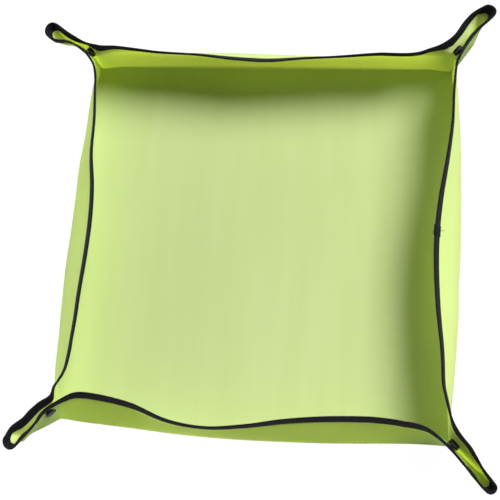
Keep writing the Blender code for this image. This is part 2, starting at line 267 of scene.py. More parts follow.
def ramp(x, width):
    """0 before -width, x after width, and rounded between."""
    t = np.clip((x / width + 1) / 2, 0, 1)
    return np.where(x > width, x, width * (2 * t**3 - t**4))


def crease_width(corner, height):
    """How far on each side of a corner crease the cloth is rounded, at a height."""
    opening = smooth((height - RIM_ROUND_FROM) / (WALL - RIM_ROUND_FROM))
    return CREASE_ROUND + (RIM_ROUND[corner] - CREASE_ROUND) * opening


print("the rims are rounded over", [crease_width(i, WALL) for i in range(4)])

# %% [markdown]
# The tape stiffens the cloth's edge, so at the mouth of each corner a lip of it spreads a
# little. How far it spreads is given at distances from the corner crease, for both ends of
# each side. With that, the wall and its ears are one standing surface, and its lowest few
# millimetres run on into the floor.

# %% The lips
FLOOR_MERGE = 0.003
LIP, LIP_ROUND, LIP_STRAIGHT = 0.023, 0.003, 0.010
TILTED_LIP = (SIDES.index("left"), 1)
SPREAD_AT = (
    -0.1, -0.07, -0.05, -0.034, -0.02, -0.008, 0.004, 0.016, 0.028, 0.04, 0.052, 0.064,
)
SPREAD = np.array([
    [(0, -0.6, -0.1, 0.1, -1.4, -2.7, -3.0, -1.4, -1.9, -2.4, -1.7, 0),
     (0, 2.6, 5.4, 6.8, 5.6, 4.4, 4.4, 4.6, 4.4, 2.2, 0.4, 0)],
    [(0, 0.7, 4.2, 6.6, 7.8, 8.6, 9.1, 8.5, 4.9, 2.5, 1.1, 0),
     (0, -1.5, -1.3, -0.3, 1.4, 3.8, 4.0, 3.0, 1.9, 1.0, 0.3, 0)],
    [(0, -1.9, -0.2, 4.7, 7.2, 8.3, 8.4, 7.9, 6.5, 4.4, 2.4, 0),
     (0, 1.8, 3.9, 6.1, 7.1, 5.7, 3.0, 0.2, -1.8, -1.9, -0.6, 0)],
    [(0, 0.5, 0.7, 2.4, 3.1, 4.2, 4.0, 2.1, -0.2, -1.1, -0.1, 0),
     (0, -1.9, -3.5, 0.8, 5.8, 9.7, 11.3, 10.8, 8.1, 5.4, 3.4, 0)],
]) / 1000


def lip_share(side, end, x, y):
    """How much of the lip's spread a point takes: all at the rim, none by the stud. Most
    lips stand upright as far as the tape goes, and one is tilted all the way."""
    right, above = np.clip(x - ROUND_X, 0, None), np.clip(y - ROUND_Y, 0, None)
    inset = CORNER_RADIUS - np.hypot(right, above) + np.clip(ROUND_Y - y, 0, None)
    if (side, end) == TILTED_LIP:
        return ramp(LIP - inset, LIP_ROUND) / LIP
    return 1 - smooth((inset - LIP_STRAIGHT) / (LIP - LIP_STRAIGHT))


def floor_point(side, run, height):
    """A point of the flat floor. Its height, below zero, is its way in from the crease."""
    return (
        OUTWARD[side] * (HALF + height)[..., None]
        + ALONG[side] * run[..., None]
        + UP * MIDDLE
    )


def standing_point(side, run, height):
    """The wall and its ears, with rounded corner creases."""
    place = np.zeros(run.shape + (3,))
    for end in (-1, 1):
        mine = run * end >= 0
        r, h = run[mine] * end, height[mine]
        corner = corner_of(side, end)
        edge, width = reach(side, end, h), crease_width(corner, h)
        before, after = -ramp(edge - r, width), ramp(r - edge, width)
        slope = h * math.tan(SLANT[corner])
        lip = curve_through(SPREAD_AT, SPREAD[side][(end + 1) // 2], r - FOOT)
        lip *= lip_share(side, end, r - FOOT, h)
        place[mine] = (
            wall_point(side, (edge + before) * end, h)
            + ear_point(side, end, after - slope, h)
            - ear_point(side, end, -slope, h)
            + corner_frame(side, end)[3] * lip[..., None]
        )
    merge = smooth(height / FLOOR_MERGE)[..., None]
    on_floor = floor_point(side, run, np.zeros(run.shape))
    return on_floor + (place - on_floor) * merge


print("the lips spread by up to", SPREAD.max(), "m")

# %% [markdown]
# The foot of each wall is rounded too, and swells out between the corners, because only
# the corners hold it in. It is given at the same places as the bulge, for the height at
# which it is greatest. It belongs to the walls, but a strip of the floor turns up with it.

# %% The feet
STRIP = 0.030  # the strip of floor that belongs to a side
EAR_SHARE = 0.008  # an ear's piece takes this much of the wall beside its crease
FLOOR_INNER = HALF - STRIP
FOOT_ROUND = (0.012, 0.012, 0.008, 0.012)  # for each side
FOOT_ROUND_LEAST = 0.0004
SWELL_AT = 0.008
SWELL = np.array([
    (2.7, 5.4, 7.9, 9.5, 10.3, 11.1, 10.8, 9.5, 6.6, 2.6, 0.5),
    (1.9, 4.9, 9.1, 12.6, 13.5, 15.4, 15.3, 14.0, 12.0, 8.1, 3.8),
    (3,) * len(PLACES),
    (4.1, 8.0, 10.7, 14.5, 15.3, 16.1, 17.4, 16.2, 14.4, 12.8, 7.2),
]) / 1000


def side_limit(side, end, height):
    """Where a wall's own piece ends: beside its ears, and on the floor where it narrows."""
    above = reach(side, end, height) - EAR_SHARE
    below = FOOT - EAR_SHARE + height / STRIP * (FOOT - EAR_SHARE - FLOOR_INNER)
    return np.where(height > 0, above, below)


def cloth_point(side, run, height):
    """The middle of the cloth, anywhere on a side."""
    run, height = np.broadcast_arrays(np.asarray(run, float), np.asarray(height, float))
    limit = np.where(run < 0, side_limit(side, -1, height), side_limit(side, 1, height))
    along = np.clip(run / limit, -1, 1)
    inner = 1 - along**4
    width = FOOT_ROUND_LEAST + FOOT_ROUND[side] * inner
    below, above = -ramp(-height, width), ramp(height, width)
    foot = floor_point(side, run, np.zeros(run.shape))
    place = floor_point(side, run, below) + standing_point(side, run, above) - foot
    swell = np.where(
        height < SWELL_AT,
        smooth((height + STRIP) / (SWELL_AT + STRIP)),
        1 - smooth((height - SWELL_AT) / (WALL - SWELL_AT)),
    )
    swell = swell * along_side(side, SWELL, along)
    return place + OUTWARD[side] * swell[..., None]


def cloth_normal(side, run, height, step=0.00025):
    """The cloth's outward normal, from its own slopes."""
    slope_run = cloth_point(side, run + step, height) - cloth_point(side, run - step, height)
    slope_up = cloth_point(side, run, height + step) - cloth_point(side, run, height - step)
    normal = np.cross(slope_run, slope_up)
    return normal / np.linalg.norm(normal, axis=-1, keepdims=True)


print("the front wall faces", cloth_normal(0, 0.0, 0.04).round(3))

# %% [markdown]
# ## The cloth
#
# A grid of points of the flat square becomes one skin at the middle of the cloth, facing
# the outside of the mat. The cloth is 0.6 mm thick and every cut edge is inside the tape,
# so its thickness never shows, and a single skin meets the next one without a line. It
# takes its normals from the formula for the same reason. A cloth simulation would drape a
# sheet too, but it gives folds of its own, and these follow the real mat's. The flat
# square's own coordinates are kept as a UV map, which the weave follows.

# %% A skin from a grid
def flat_place(side, run, height):
    """Where a point lies in the flat square, in metres from its middle."""
    place = OUTWARD[side] * (HALF + height)[..., None] + ALONG[side] * run[..., None]
    return place[..., :2]


def link(name, mesh):
    obj = bpy.data.objects.new(name, mesh)
    bpy.context.scene.collection.objects.link(obj)
    return obj


def material_named(name):
    material = bpy.data.materials.new(name)
    material.use_nodes = True
    return material


def face_corners(mesh):
    """The number of the point at each corner of each face, in order."""
    corners = np.zeros(len(mesh.loops), int)
    mesh.loops.foreach_get("vertex_index", corners)
    return corners


def set_flat_map(mesh, places):
    """Gives a mesh its UV map, from a place for each corner of each face."""
    uv = mesh.uv_layers.new(name="flat")
    uv.data.foreach_set("uv", places.astype(np.float32).ravel())


cloth = material_named("coated_cloth")


def skin(name, middle, normal, flat):
    """A sheet of cloth from rows and columns of points."""
    rows, columns = middle.shape[:2]
    index = np.arange(rows * columns).reshape(rows, columns)
    faces = np.stack(
        [index[:-1, :-1], index[:-1, 1:], index[1:, 1:], index[1:, :-1]], axis=-1
    ).reshape(-1, 4)
    mesh = bpy.data.meshes.new(name)
    mesh.from_pydata(middle.reshape(-1, 3).tolist(), [], faces.tolist())
    set_flat_map(mesh, flat.reshape(-1, 2)[face_corners(mesh)])
    mesh.shade_smooth()
    mesh.normals_split_custom_set_from_vertices(normal.reshape(-1, 3).tolist())
    mesh.materials.append(cloth)
    mesh.validate(clean_customdata=False)
    return link(name, mesh)


def skin_on(name, side, run, height):
    """A sheet of cloth from rows and columns of runs and heights on one side."""
    return skin(
        name, cloth_point(side, run, height), cloth_normal(side, run, height),
        flat_place(side, run, height),
    )


print("made an empty material", cloth.name)

# %% [markdown]
# The floor piece is a plain square grid, with a strip along each side that runs out to the
# base crease, and a small kite at each corner that fills the place between two strips. The
# strips' outer edges turn up at the swollen feet of the walls.

# %% The floor of the tray
FLOOR_STEPS = 92
SIDE_COLUMNS = 150
KITE_STEPS = 11
ROWS = np.concatenate([  # the heights of a side's rows of points, close at its foot
    np.linspace(-STRIP, -0.0125, 7), np.linspace(-0.011, -0.001, 9),
    np.linspace(0, 0.018, 14), np.linspace(0.0205, 0.060, 16), np.linspace(0.0625, WALL, 9),
])


def side_piece(name, side, rows):
    """The cloth of one side between its two ends, at the heights of some rows."""
    shares = np.linspace(0, 1, SIDE_COLUMNS + 1)
    height = np.repeat(rows[:, None], len(shares), axis=1)
    low, high = -side_limit(side, -1, height), side_limit(side, 1, height)
    return skin_on(name, side, low + (high - low) * shares, height)


def flat_piece(name, flat):
    """A level sheet at the middle of the cloth, facing down."""
    middle = np.dstack([flat, np.full(flat.shape[:2], MIDDLE)])
    return skin(name, middle, np.broadcast_to(-UP, middle.shape), flat)


def joined(pieces):
    """One piece out of several, under the name of the first."""
    with bpy.context.temp_override(active_object=pieces[0], selected_editable_objects=pieces):
        bpy.ops.object.join()
    return pieces[0]


def floor_piece():
    ticks = np.linspace(-FLOOR_INNER, FLOOR_INNER, FLOOR_STEPS + 1)
    x, y = np.meshgrid(-ticks, ticks)
    pieces = [flat_piece("floor_cloth", np.stack([x, y], axis=-1))]
    ticks = np.linspace(0, 1, KITE_STEPS + 1)
    a, b = np.meshgrid(ticks, ticks)
    strip_end = FOOT - EAR_SHARE
    for sx, sy in ((1, 1), (-1, 1), (-1, -1), (1, -1)):
        kite = np.array([
            (FLOOR_INNER, FLOOR_INNER), (HALF, strip_end), (HALF, HALF), (strip_end, HALF),
        ]) * (sx, sy)
        if sx * sy > 0:
            kite = kite[[0, 3, 2, 1]]
        pieces.append(flat_piece("kite", (
            kite[0] * ((1 - a) * (1 - b))[..., None] + kite[1] * (a * (1 - b))[..., None]
            + kite[2] * (a * b)[..., None] + kite[3] * ((1 - a) * b)[..., None]
        )))
    pieces += [side_piece("strip", side, ROWS[ROWS <= 0]) for side in range(4)]
    return joined(pieces)


floor_cloth = floor_piece()
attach(floor_cloth, "floor")
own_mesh(floor_cloth)
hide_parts("mat_floor")
print(floor_cloth.name, len(floor_cloth.data.polygons), "faces")

# %% [markdown]
# A wall is a grid of runs and heights, and it rides on its wall's body. Its bulges and its
# swollen foot would go down through the table when the mat is opened, and real cloth
# flattens out instead. The piece is not flattened here. Its ends aren't quite flat
# themselves, so a plane is fitted to them, most closely at their feet, and moved in until
# neither foot would go down through the table, and only how far the ends lie from it is worked
# out.

# %% The walls
FEET_COUNT = 8  # how much more the plane heeds the feet than the rims


def fall_flat(piece, side):
    """Lets a piece ride on a wall, and gives how far the wall's ends lie from a plane fitted to
    them.
    """
    height = ROWS[ROWS >= 0]
    ends = [cloth_point(side, end * side_limit(side, end, height), height) for end in (-1, 1)]
    ends = np.concatenate(ends)
    weight = np.tile(1 + FEET_COUNT * (1 - height / WALL) ** 2, 2)
    middle = weight @ ends / weight.sum()
    across = np.linalg.svd((ends - middle) * np.sqrt(weight)[:, None])[2][2]
    across *= np.sign(across @ OUTWARD[side])
    feet = (ends[[0, len(height)]] - middle) @ across
    middle = middle + across * min(feet.min(), 0)
    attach(piece, f"wall_{SIDES[side]}")
    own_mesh(piece)
    return np.abs((ends - middle) @ across).max()


wall_cloths = []
for side, name in enumerate(SIDES):
    piece = side_piece(f"wall_cloth_{name}", side, ROWS[ROWS >= 0])
    off = fall_flat(piece, side)
    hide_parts(f"wall_{name}")
    wall_cloths.append(piece)
    print(name, "ends lie within", (off * 1000).round(1), "mm of one plane")
print([len(piece.data.polygons) for piece in wall_cloths], "faces in the walls")

# %% [markdown]
# An ear's layer starts 8 mm inside its wall and ends at the fold. It shares the wall's
# rows there, so that their edges match. Its upper edge follows the rim, which is straight
# and then rounded at the corner of the flat square.

# %% The ear layers
EAR_COLUMNS = 64
EAR_ROWS = ROWS[ROWS >= 0] / WALL
BEND_BEFORE, BEND_AFTER = 0.0045, 0.0025


def ear_rim(side, end, share):
    """The rim of an ear in its flat cloth, and the way out of the cloth there."""
    start = -EAR_SHARE - WALL * math.tan(SLANT[corner_of(side, end)])
    straight = ROUND_X - start
    arc = CORNER_RADIUS * math.pi / 4
    gone = share * (straight + arc)
    angle = math.pi / 2 - np.clip(gone - straight, 0, None) / CORNER_RADIUS
    out = np.stack([np.cos(angle), np.sin(angle)], axis=-1)
    x = np.minimum(start + gone, ROUND_X) + CORNER_RADIUS * out[..., 0]
    y = ROUND_Y + CORNER_RADIUS * out[..., 1]
    return x, y, out


def ear_name(side, end):
    return f"{SIDES[side]}_{SIDES[(side + end) % 4]}"


def ear_piece(side, end):
    a, b = np.meshgrid(np.linspace(0, 1, EAR_COLUMNS + 1), EAR_ROWS)
    rim_x, rim_y, _ = ear_rim(side, end, a)
    root_x = -EAR_SHARE + (EAR_SHARE + math.sqrt(2) * LAYER) * a
    x, y = root_x + (rim_x - root_x) * b, rim_y * b
    run = (FOOT + x) * end
    if end < 0:
        run, y = run[:, ::-1], y[:, ::-1]
    return skin_on(f"ear_cloth_{ear_name(side, end)}", side, run, y)


def bend_at_crease(piece, side, end):
    """Bakes a piece's place into its mesh. Where it would bend across the corner crease is worked
    out, but not used.
    """
    foot, _, ear, _ = corner_frame(side, end)
    start, stop = foot - ear * BEND_BEFORE, foot + ear * BEND_AFTER
    f"ear_{ear_name(side, end)}"
    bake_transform(piece)


ear_cloths = {}
for side in range(4):
    for end in (-1, 1):
        name, piece = ear_name(side, end), ear_piece(side, end)
        bend_at_crease(piece, side, end)
        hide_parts(f"ear_{name}")
        ear_cloths[name] = piece
print(sorted(ear_cloths), len(piece.data.polygons), "faces each")

# %% [markdown]
# ## The binding
#
# The tape is 25 mm wide, folded in half over the edge and sewn through both legs. Its
# section is drawn once, as pairs of inset from the cloth's edge and offset from its
# middle, a little pinched where the thread runs.

# %% The tape's section
SEAM_INSET = 0.0095
OUTER_LEG = np.array([  # inset and offset, in millimetres at first
    (12.00, 0.66), (12.10, 0.94), (11.80, 1.18), (11.00, 1.30), (10.10, 1.20),
    (9.50, 1.11), (8.90, 1.20), (7.80, 1.37), (6.00, 1.44), (4.00, 1.45), (2.00, 1.42),
    (0.70, 1.33), (-0.25, 1.08), (-0.80, 0.62),
]) / 1000
SEAM_POINT = 5  # of the outer leg, where it is pinched
SLIT = np.array([(12.00, 0.35), (-0.25, 0.35)]) / 1000
NOSE = (-0.00092, 0)
FLIP = np.array((1, -1))
SECTION = np.concatenate([
    OUTER_LEG, [NOSE], OUTER_LEG[::-1] * FLIP, SLIT * FLIP, SLIT[::-1],
])
tape = material_named("binding_tape")
print("the section has", len(SECTION), "points")

# %% [markdown]
# The section is then carried along the rim. Folding a flat strip would do as well, but a
# swept section also has a closed inside. Its faces get a UV map of the tape laid out flat,
# which the ribs of the weave follow.

# %% Carrying a section along
SHARP_TURN = math.radians(70)


def swept(name, places, around, length, material):
    """A closed bar through rings of points. around and length give it a UV map."""
    count, size = places.shape[:2]
    index = np.arange(count * size).reshape(count, size)
    beside = np.roll(index, -1, axis=1)
    quads = np.stack([index[:-1], beside[:-1], beside[1:], index[1:]], axis=-1).reshape(-1, 4)
    faces = quads.tolist() + [index[0, ::-1].tolist(), index[-1].tolist()]
    mesh = bpy.data.meshes.new(name)
    mesh.from_pydata(places.reshape(-1, 3).tolist(), [], faces)

    # The last face of a ring ends at its first point, but all the way round in the map
    corners = face_corners(mesh)
    ring, spot = corners // size, corners % size
    far_side = np.zeros(len(corners), bool)
    far_side[: quads.size] = np.tile((False, True, True, False), len(quads))
    whole_way = around[-1] + abs(around[-1] - around[-2])
    across = np.where(far_side & (spot == 0), whole_way, around[spot])
    set_flat_map(mesh, np.stack([length[ring], across], axis=-1))

    bm = bmesh.new()
    bm.from_mesh(mesh)
    bmesh.ops.recalc_face_normals(bm, faces=bm.faces)
    bm.to_mesh(mesh)
    bm.free()
    mesh.shade_smooth()
    mesh.set_sharp_from_angle(angle=SHARP_TURN)
    mesh.materials.append(material)
    return link(name, mesh)


def distance_along(points):
    """How far each point lies from the first one, along a line through them all."""
    steps = np.linalg.norm(np.diff(points, axis=0), axis=1)
    return np.concatenate([[0], np.cumsum(steps)])


print("the section is", distance_along(SECTION)[-1].round(4), "round")

# %% [markdown]
# Along a wall the section's points lie at a run and a height. On an ear they lie at an
# inset from its rim, which also works round the corner.

# %% Where the tape runs
WALL_TAPE_STEPS, EAR_TAPE_STEPS = 190, 56
ROOT_SHARE = 0.2  # of an ear's rim, over which the tape's end turns square to it


def wall_rim(side, share, inset):
    """The run and height at a share of a wall's rim, some way in from its edge."""
    height = WALL - inset
    low, high = -side_limit(side, -1, height), side_limit(side, 1, height)
    return low + (high - low) * share, height


def ear_edge(side, end, share, inset):
    """The same on an ear."""
    x, y, out = ear_rim(side, end, share)
    slant = math.tan(SLANT[corner_of(side, end)])
    x = x - out[..., 0] * inset + inset * slant * np.clip(1 - share / ROOT_SHARE, 0, 1)
    return (FOOT + x) * end, y - out[..., 1] * inset


def rim_of(side, end):
    """The rim of a wall, whose end is 0, or of one of its two ears."""
    if end:
        return lambda share, inset: ear_edge(side, end, share, inset)
    return lambda share, inset: wall_rim(side, share, inset)


def on_cloth(side, run, height, offset):
    return cloth_point(side, run, height) + cloth_normal(side, run, height) * offset[..., None]


def tape_along(name, side, rim, steps, section=SECTION):
    share, _ = np.meshgrid(np.linspace(0, 1, steps + 1), section[:, 0], indexing="ij")
    inset = np.broadcast_to(section[:, 0], share.shape)
    run, height = rim(share, inset)
    offset = np.broadcast_to(section[:, 1], share.shape)
    places = on_cloth(side, run, height, offset)
    length = distance_along(places[:, len(section) // 2])
    return swept(name, places, distance_along(section), length, tape)


for side, name in enumerate(SIDES):
    piece = tape_along(f"wall_tape_{name}", side, rim_of(side, 0), WALL_TAPE_STEPS)
    fall_flat(piece, side)
    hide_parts(f"binding_{name}")
    for end in (-1, 1):
        name = ear_name(side, end)
        piece = tape_along(f"ear_tape_{name}", side, rim_of(side, end), EAR_TAPE_STEPS)
        bend_at_crease(piece, side, end)
        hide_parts(f"ear_binding_{name}")
print("tape round 4 walls and 8 ear layers")

# %% [markdown]
# The tape's two ends meet on the right-hand rim, where one end is folded under and lapped
# over the other. The lap is the same section with its outside moved out by a tape's
# thickness.

# %% The lap
LAP_PLACE, LAP_LENGTH, LAP_STEPS = 0.006, 0.014, 10
LAP_RAISE = 0.0009
RIGHT = SIDES.index("right")


def raised(section, amount):
    """The section moved outwards from the cloth's edge and faces."""
    moved = section.copy()
    legs = section[:, 0] > 0
    bend = section[~legs]
    moved[legs, 1] += np.sign(section[legs, 1]) * amount
    moved[~legs] += bend / np.linalg.norm(bend, axis=1, keepdims=True) * amount
    return moved


def lap_rim(share, inset):
    return LAP_PLACE + LAP_LENGTH * (share - 0.5), WALL - inset


LAP_SECTION = raised(SECTION, LAP_RAISE)
lap = tape_along("lapped_tape", RIGHT, lap_rim, LAP_STEPS, LAP_SECTION)
fall_flat(lap, RIGHT)
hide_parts("binding_lap")
print("lap", LAP_SECTION.min(axis=0), LAP_SECTION.max(axis=0))

# %% [markdown]
# ## The stitches
#
# About 1,700 stitches of black thread hold the tape. An array along a curve could repeat
# one, but Geometry Nodes also place and turn them by rule: a line along each face of the
# tape is resampled at the stitch pitch, and a small rounded stitch is put on each point,
# turned along the line and laid flat on the tape. The line carries its own normals as an
# attribute.

# %% The stitch tree
BALL_SEGMENTS, BALL_RINGS = 6, 5


def stitch_tree():
    tree = bpy.data.node_groups.new("stitch_line", "GeometryNodeTree")
    face = tree.interface
    face.new_socket("Geometry", in_out="INPUT", socket_type="NodeSocketGeometry")
    for label in ("Pitch", "Length", "Thread"):
        face.new_socket(label, in_out="INPUT", socket_type="NodeSocketFloat")
    face.new_socket("Material", in_out="INPUT", socket_type="NodeSocketMaterial")
    face.new_socket("Geometry", in_out="OUTPUT", socket_type="NodeSocketGeometry")

    def add(kind, values=None, **settings):
        node = tree.nodes.new(kind)
        for key, value in settings.items():
            setattr(node, key, value)
        for key, value in (values or {}).items():
            if isinstance(value, bpy.types.NodeSocket):
                tree.links.new(value, node.inputs[key])
            else:
                node.inputs[key].default_value = value
        return node

    given = add("NodeGroupInput").outputs
    line = add("GeometryNodeMeshToCurve", {"Mesh": given["Geometry"]})
    even = add(
        "GeometryNodeResampleCurve",
        {"Curve": line.outputs[0], "Length": given["Pitch"]}, mode="LENGTH",
    )
    normal = add("GeometryNodeInputNamedAttribute", {"Name": "across"}, data_type="FLOAT_VECTOR")
    tangent = add("GeometryNodeInputTangent")
    laid = add(
        "FunctionNodeAlignRotationToVector", {"Vector": normal.outputs["Attribute"]}, axis="Z"
    )
    turned = add(
        "FunctionNodeAlignRotationToVector",
        {"Rotation": laid.outputs[0], "Vector": tangent.outputs[0]}, axis="X", pivot_axis="Z",
    )
    ball = add(
        "GeometryNodeMeshUVSphere",
        {"Segments": BALL_SEGMENTS, "Rings": BALL_RINGS, "Radius": 0.5},
    )
    size = add(
        "ShaderNodeCombineXYZ",
        {"X": given["Length"], "Y": given["Thread"], "Z": given["Thread"]},
    )
    stitch = add("GeometryNodeTransform", {"Geometry": ball.outputs[0], "Scale": size.outputs[0]})
    copies = add(
        "GeometryNodeInstanceOnPoints",
        {"Points": even.outputs[0], "Instance": stitch.outputs[0], "Rotation": turned.outputs[0]},
    )
    real = add("GeometryNodeRealizeInstances", {"Geometry": copies.outputs[0]})
    shade = add("GeometryNodeSetShadeSmooth", {"Geometry": real.outputs[0]})
    painted = add(
        "GeometryNodeSetMaterial",
        {"Geometry": shade.outputs[0], "Material": given["Material"]},
    )
    tree.links.new(painted.outputs[0], add("NodeGroupOutput").inputs[0])
    return tree


stitches_tree = stitch_tree()
thread = material_named("sewing_thread")
print("stitch tree has", len(stitches_tree.nodes), "nodes")

# %% Stitches on each stretch of tape
STITCH_PITCH = 0.0034
STITCH_LENGTH = 0.0027
THREAD = 0.00055
THREAD_RISE = THREAD / 2 - 0.00010  # its middle, above the tape that it sinks into
WALL_SEAM_STEPS, EAR_SEAM_STEPS = 190, 60


def with_nodes(name, mesh, tree, values):
    """A plain mesh of what a tree makes of a mesh."""
    source = link(name, mesh)
    modifier = source.modifiers.new("nodes", "NODES")
    modifier.node_group = tree
    for item in tree.interface.items_tree:
        if item.item_type == "SOCKET" and item.in_out == "INPUT" and item.name in values:
            modifier[item.identifier] = values[item.name]
    bpy.context.view_layer.update()
    seen = source.evaluated_get(bpy.context.evaluated_depsgraph_get())
    made = bpy.data.meshes.new_from_object(seen)
    bpy.data.objects.remove(source)
    bpy.data.meshes.remove(mesh)
    made.name = name
    return link(name, made)


def stitch_piece(name, side, rim, steps):
    """The stitches on both faces of a stretch of tape."""
    share = np.linspace(0, 1, steps + 1)
    run, height = rim(share, np.full(share.shape, SEAM_INSET))
    middle, normal = cloth_point(side, run, height), cloth_normal(side, run, height)
    offset = OUTER_LEG[SEAM_POINT, 1] + THREAD_RISE
    both = np.concatenate([middle + normal * offset, middle - normal * offset])
    facing = np.concatenate([normal, -normal])
    edges = [(i, i + 1) for i in range(2 * steps + 1) if i != steps]
    mesh = bpy.data.meshes.new(name)
    mesh.from_pydata(both.tolist(), edges, [])
    across = mesh.attributes.new("across", "FLOAT_VECTOR", "POINT")
    across.data.foreach_set("vector", facing.astype(np.float32).ravel())
    return with_nodes(name, mesh, stitches_tree, {
        "Pitch": STITCH_PITCH, "Length": STITCH_LENGTH, "Thread": THREAD, "Material": thread,
    })


stitch_pieces = []
for side, name in enumerate(SIDES):
    piece = stitch_piece(f"wall_stitches_{name}", side, rim_of(side, 0), WALL_SEAM_STEPS)
    fall_flat(piece, side)
    stitch_pieces.append(piece)
    for end in (-1, 1):
        name = f"ear_stitches_{ear_name(side, end)}"
        piece = stitch_piece(name, side, rim_of(side, end), EAR_SEAM_STEPS)
        bend_at_crease(piece, side, end)
        stitch_pieces.append(piece)
print(sum(len(piece.data.polygons) for piece in stitch_pieces), "faces of thread")

# %% [markdown]
# The seam starts and stops at the lap. There the machine went to and fro across the tape,
# and the cut ends of its threads still stick out by a few millimetres on both sides.

# %% The lap's threads
TACK_TURNS = 9
TACK_INSETS = (0.0035, 0.0105)
TACK_POINT = 7  # of the lap's section: the highest that the threads cross
TAILS = (  # place beside the lap's middle, face, length, and how far it bends aside
    (0.0000, 1, 0.0060, 0.0015),
    (0.0012, -1, 0.0070, -0.0020),
    (-0.0010, -1, 0.0050, 0.0025),
)
TAIL_STEPS, TAIL_ROOT, TAIL_DROOP = 11, 0.0004, 0.2
TUBE_SIDES = 6
ACROSS_ALL = (0.3, 0.2, 0.93)  # a way that no thread runs


def thread_tube(name, line):
    """A round thread along a line of points."""
    ahead = np.gradient(line, axis=0)
    ahead /= np.linalg.norm(ahead, axis=1, keepdims=True)
    beside = np.cross(ahead, ACROSS_ALL)
    beside /= np.linalg.norm(beside, axis=1, keepdims=True)
    above = np.cross(beside, ahead)
    turn = np.linspace(0, 2 * math.pi, TUBE_SIDES, endpoint=False)[:, None]
    ring = beside[:, None] * np.cos(turn) + above[:, None] * np.sin(turn)
    rings = line[:, None] + ring * THREAD / 2
    return swept(name, rings, np.arange(TUBE_SIDES) * THREAD / 2, distance_along(line), thread)


def threads_at_lap():
    face = LAP_SECTION[TACK_POINT, 1] + THREAD_RISE
    turns = np.arange(TACK_TURNS)
    run = LAP_PLACE + (turns - TACK_TURNS // 2) * THREAD
    height = WALL - np.take(TACK_INSETS, turns % 2)
    pieces = []
    for facing in (1, -1):
        line = on_cloth(RIGHT, run, height, np.full(run.shape, facing * face))
        pieces.append(thread_tube("lap_stitches", line))
    t = np.linspace(0, 1, TAIL_STEPS + 1)
    for start, facing, length, bend in TAILS:
        run = LAP_PLACE + start + bend * t * t
        height = WALL - SEAM_INSET - TAIL_DROOP * length * t**2
        line = on_cloth(RIGHT, run, height, facing * (face - TAIL_ROOT + length * t))
        pieces.append(thread_tube("thread_tail", line))
    return joined(pieces)


lap_stitches = threads_at_lap()
fall_flat(lap_stitches, RIGHT)
print(len(lap_stitches.data.polygons), "faces of thread at the lap")

# %% [markdown]
# ## The finishes
#
# Shader maths reads best as plain sums. A small class wraps the output of a node, so that
# a + b or 1 - a adds the Math node that works it out, and one method makes any other node.

# %% Shader maths
class Value:
    """One number that a shader works out, from point to point."""

    def __init__(self, finish, socket):
        self.finish, self.socket = finish, socket

    def maths(self, operation, *others):
        inputs = {i: value for i, value in enumerate((self, *others))}
        return self.finish.node("ShaderNodeMath", {"operation": operation}, inputs)

    def __add__(self, other):
        return self.maths("ADD", other)

    def __mul__(self, other):
        return self.maths("MULTIPLY", other)

    def __rsub__(self, other):
        return self.maths("MULTIPLY", -1).maths("ADD", other)

    __radd__ = __add__
    __rmul__ = __mul__


class Finish:
    """The nodes of one material, or of the sky."""

    def __init__(self, owner):
        self.tree = owner.node_tree

    def feed(self, socket, value):
        if isinstance(value, Value):
            self.tree.links.new(value.socket, socket)
        else:
            socket.default_value = value

    def set(self, name, **inputs):
        """Feeds the inputs of the node of that name, Base_Color standing for Base Color."""
        for key, value in inputs.items():
            self.feed(self.tree.nodes[name].inputs[key.replace("_", " ")], value)

    def surface(self, **inputs):
        self.set("Principled BSDF", **inputs)

    def node(self, kind, settings=None, inputs=None, output=0):
        node = self.tree.nodes.new(kind)
        for key, value in (settings or {}).items():
            setattr(node, key, value)
        for key, value in (inputs or {}).items():
            self.feed(node.inputs[key], value)
        return Value(self, node.outputs[output])

    def more(self, value, name):
        """Another output of the node that a value comes from."""
        return Value(self, value.socket.node.outputs[name])

    def flat(self):
        """The piece's own flat coordinates, in metres: as a place, and as two numbers."""
        place = self.node("ShaderNodeUVMap", {"uv_map": "flat"})
        u = self.node("ShaderNodeSeparateXYZ", {}, {0: place})
        return place, u, self.more(u, "Y")

    def solid(self):
        """The piece's own coordinates in space, in metres."""
        return self.more(self.node("ShaderNodeTexCoord"), "Object")

    def noise(self, place, stretch, scale, detail):
        spread = self.node("ShaderNodeMapping", {}, {"Vector": place, "Scale": stretch})
        inputs = {"Vector": spread, "Scale": scale, "Detail": detail}
        return self.node("ShaderNodeTexNoise", {}, inputs)

    def spread(self, value, low, high):
        """0 where a value is low, 1 where it is high, and even between."""
        return self.node("ShaderNodeMapRange", {}, {0: value, 1: low, 2: high})

    def mix(self, factor, first, second):
        inputs = {"Factor": factor, 6: first, 7: second}
        return self.node("ShaderNodeMix", {"data_type": "RGBA"}, inputs, output=2)

    def bump(self, height, distance, strength=1.0):
        inputs = {"Height": height, "Distance": distance, "Strength": strength}
        return self.node("ShaderNodeBump", {}, inputs)

    def wave(self, coordinate, pitch):
        return (coordinate * (2 * math.pi / pitch)).maths("SINE")


print("shader maths ready")

# %% [markdown]
# The cloth is woven from flat plastic tapes and coated on both sides. It is yellow-green,
# softly glossy, and thin enough for strong light to glow through, so its shader mixes a
# Principled surface with a Translucent one. Rolled storage leaves faint streaks along it.

# %% The coated cloth
CLOTH_LIGHT = (0.81, 0.95, 0.43, 1)
CLOTH_DEEP = (0.76, 0.90, 0.38, 1)
CLOTH_GLOW = (0.80, 1.00, 0.075, 1)
GLOW_SHARE = 0.40
CLOTH_GLOSS = 0.15
WEAVE_PITCH = 0.0016
WEAVE_DEPTH, STREAK_DEPTH, DENT_DEPTH = 0.000012, 0.0010, 0.0012
DENTS_SHOW = 0.55


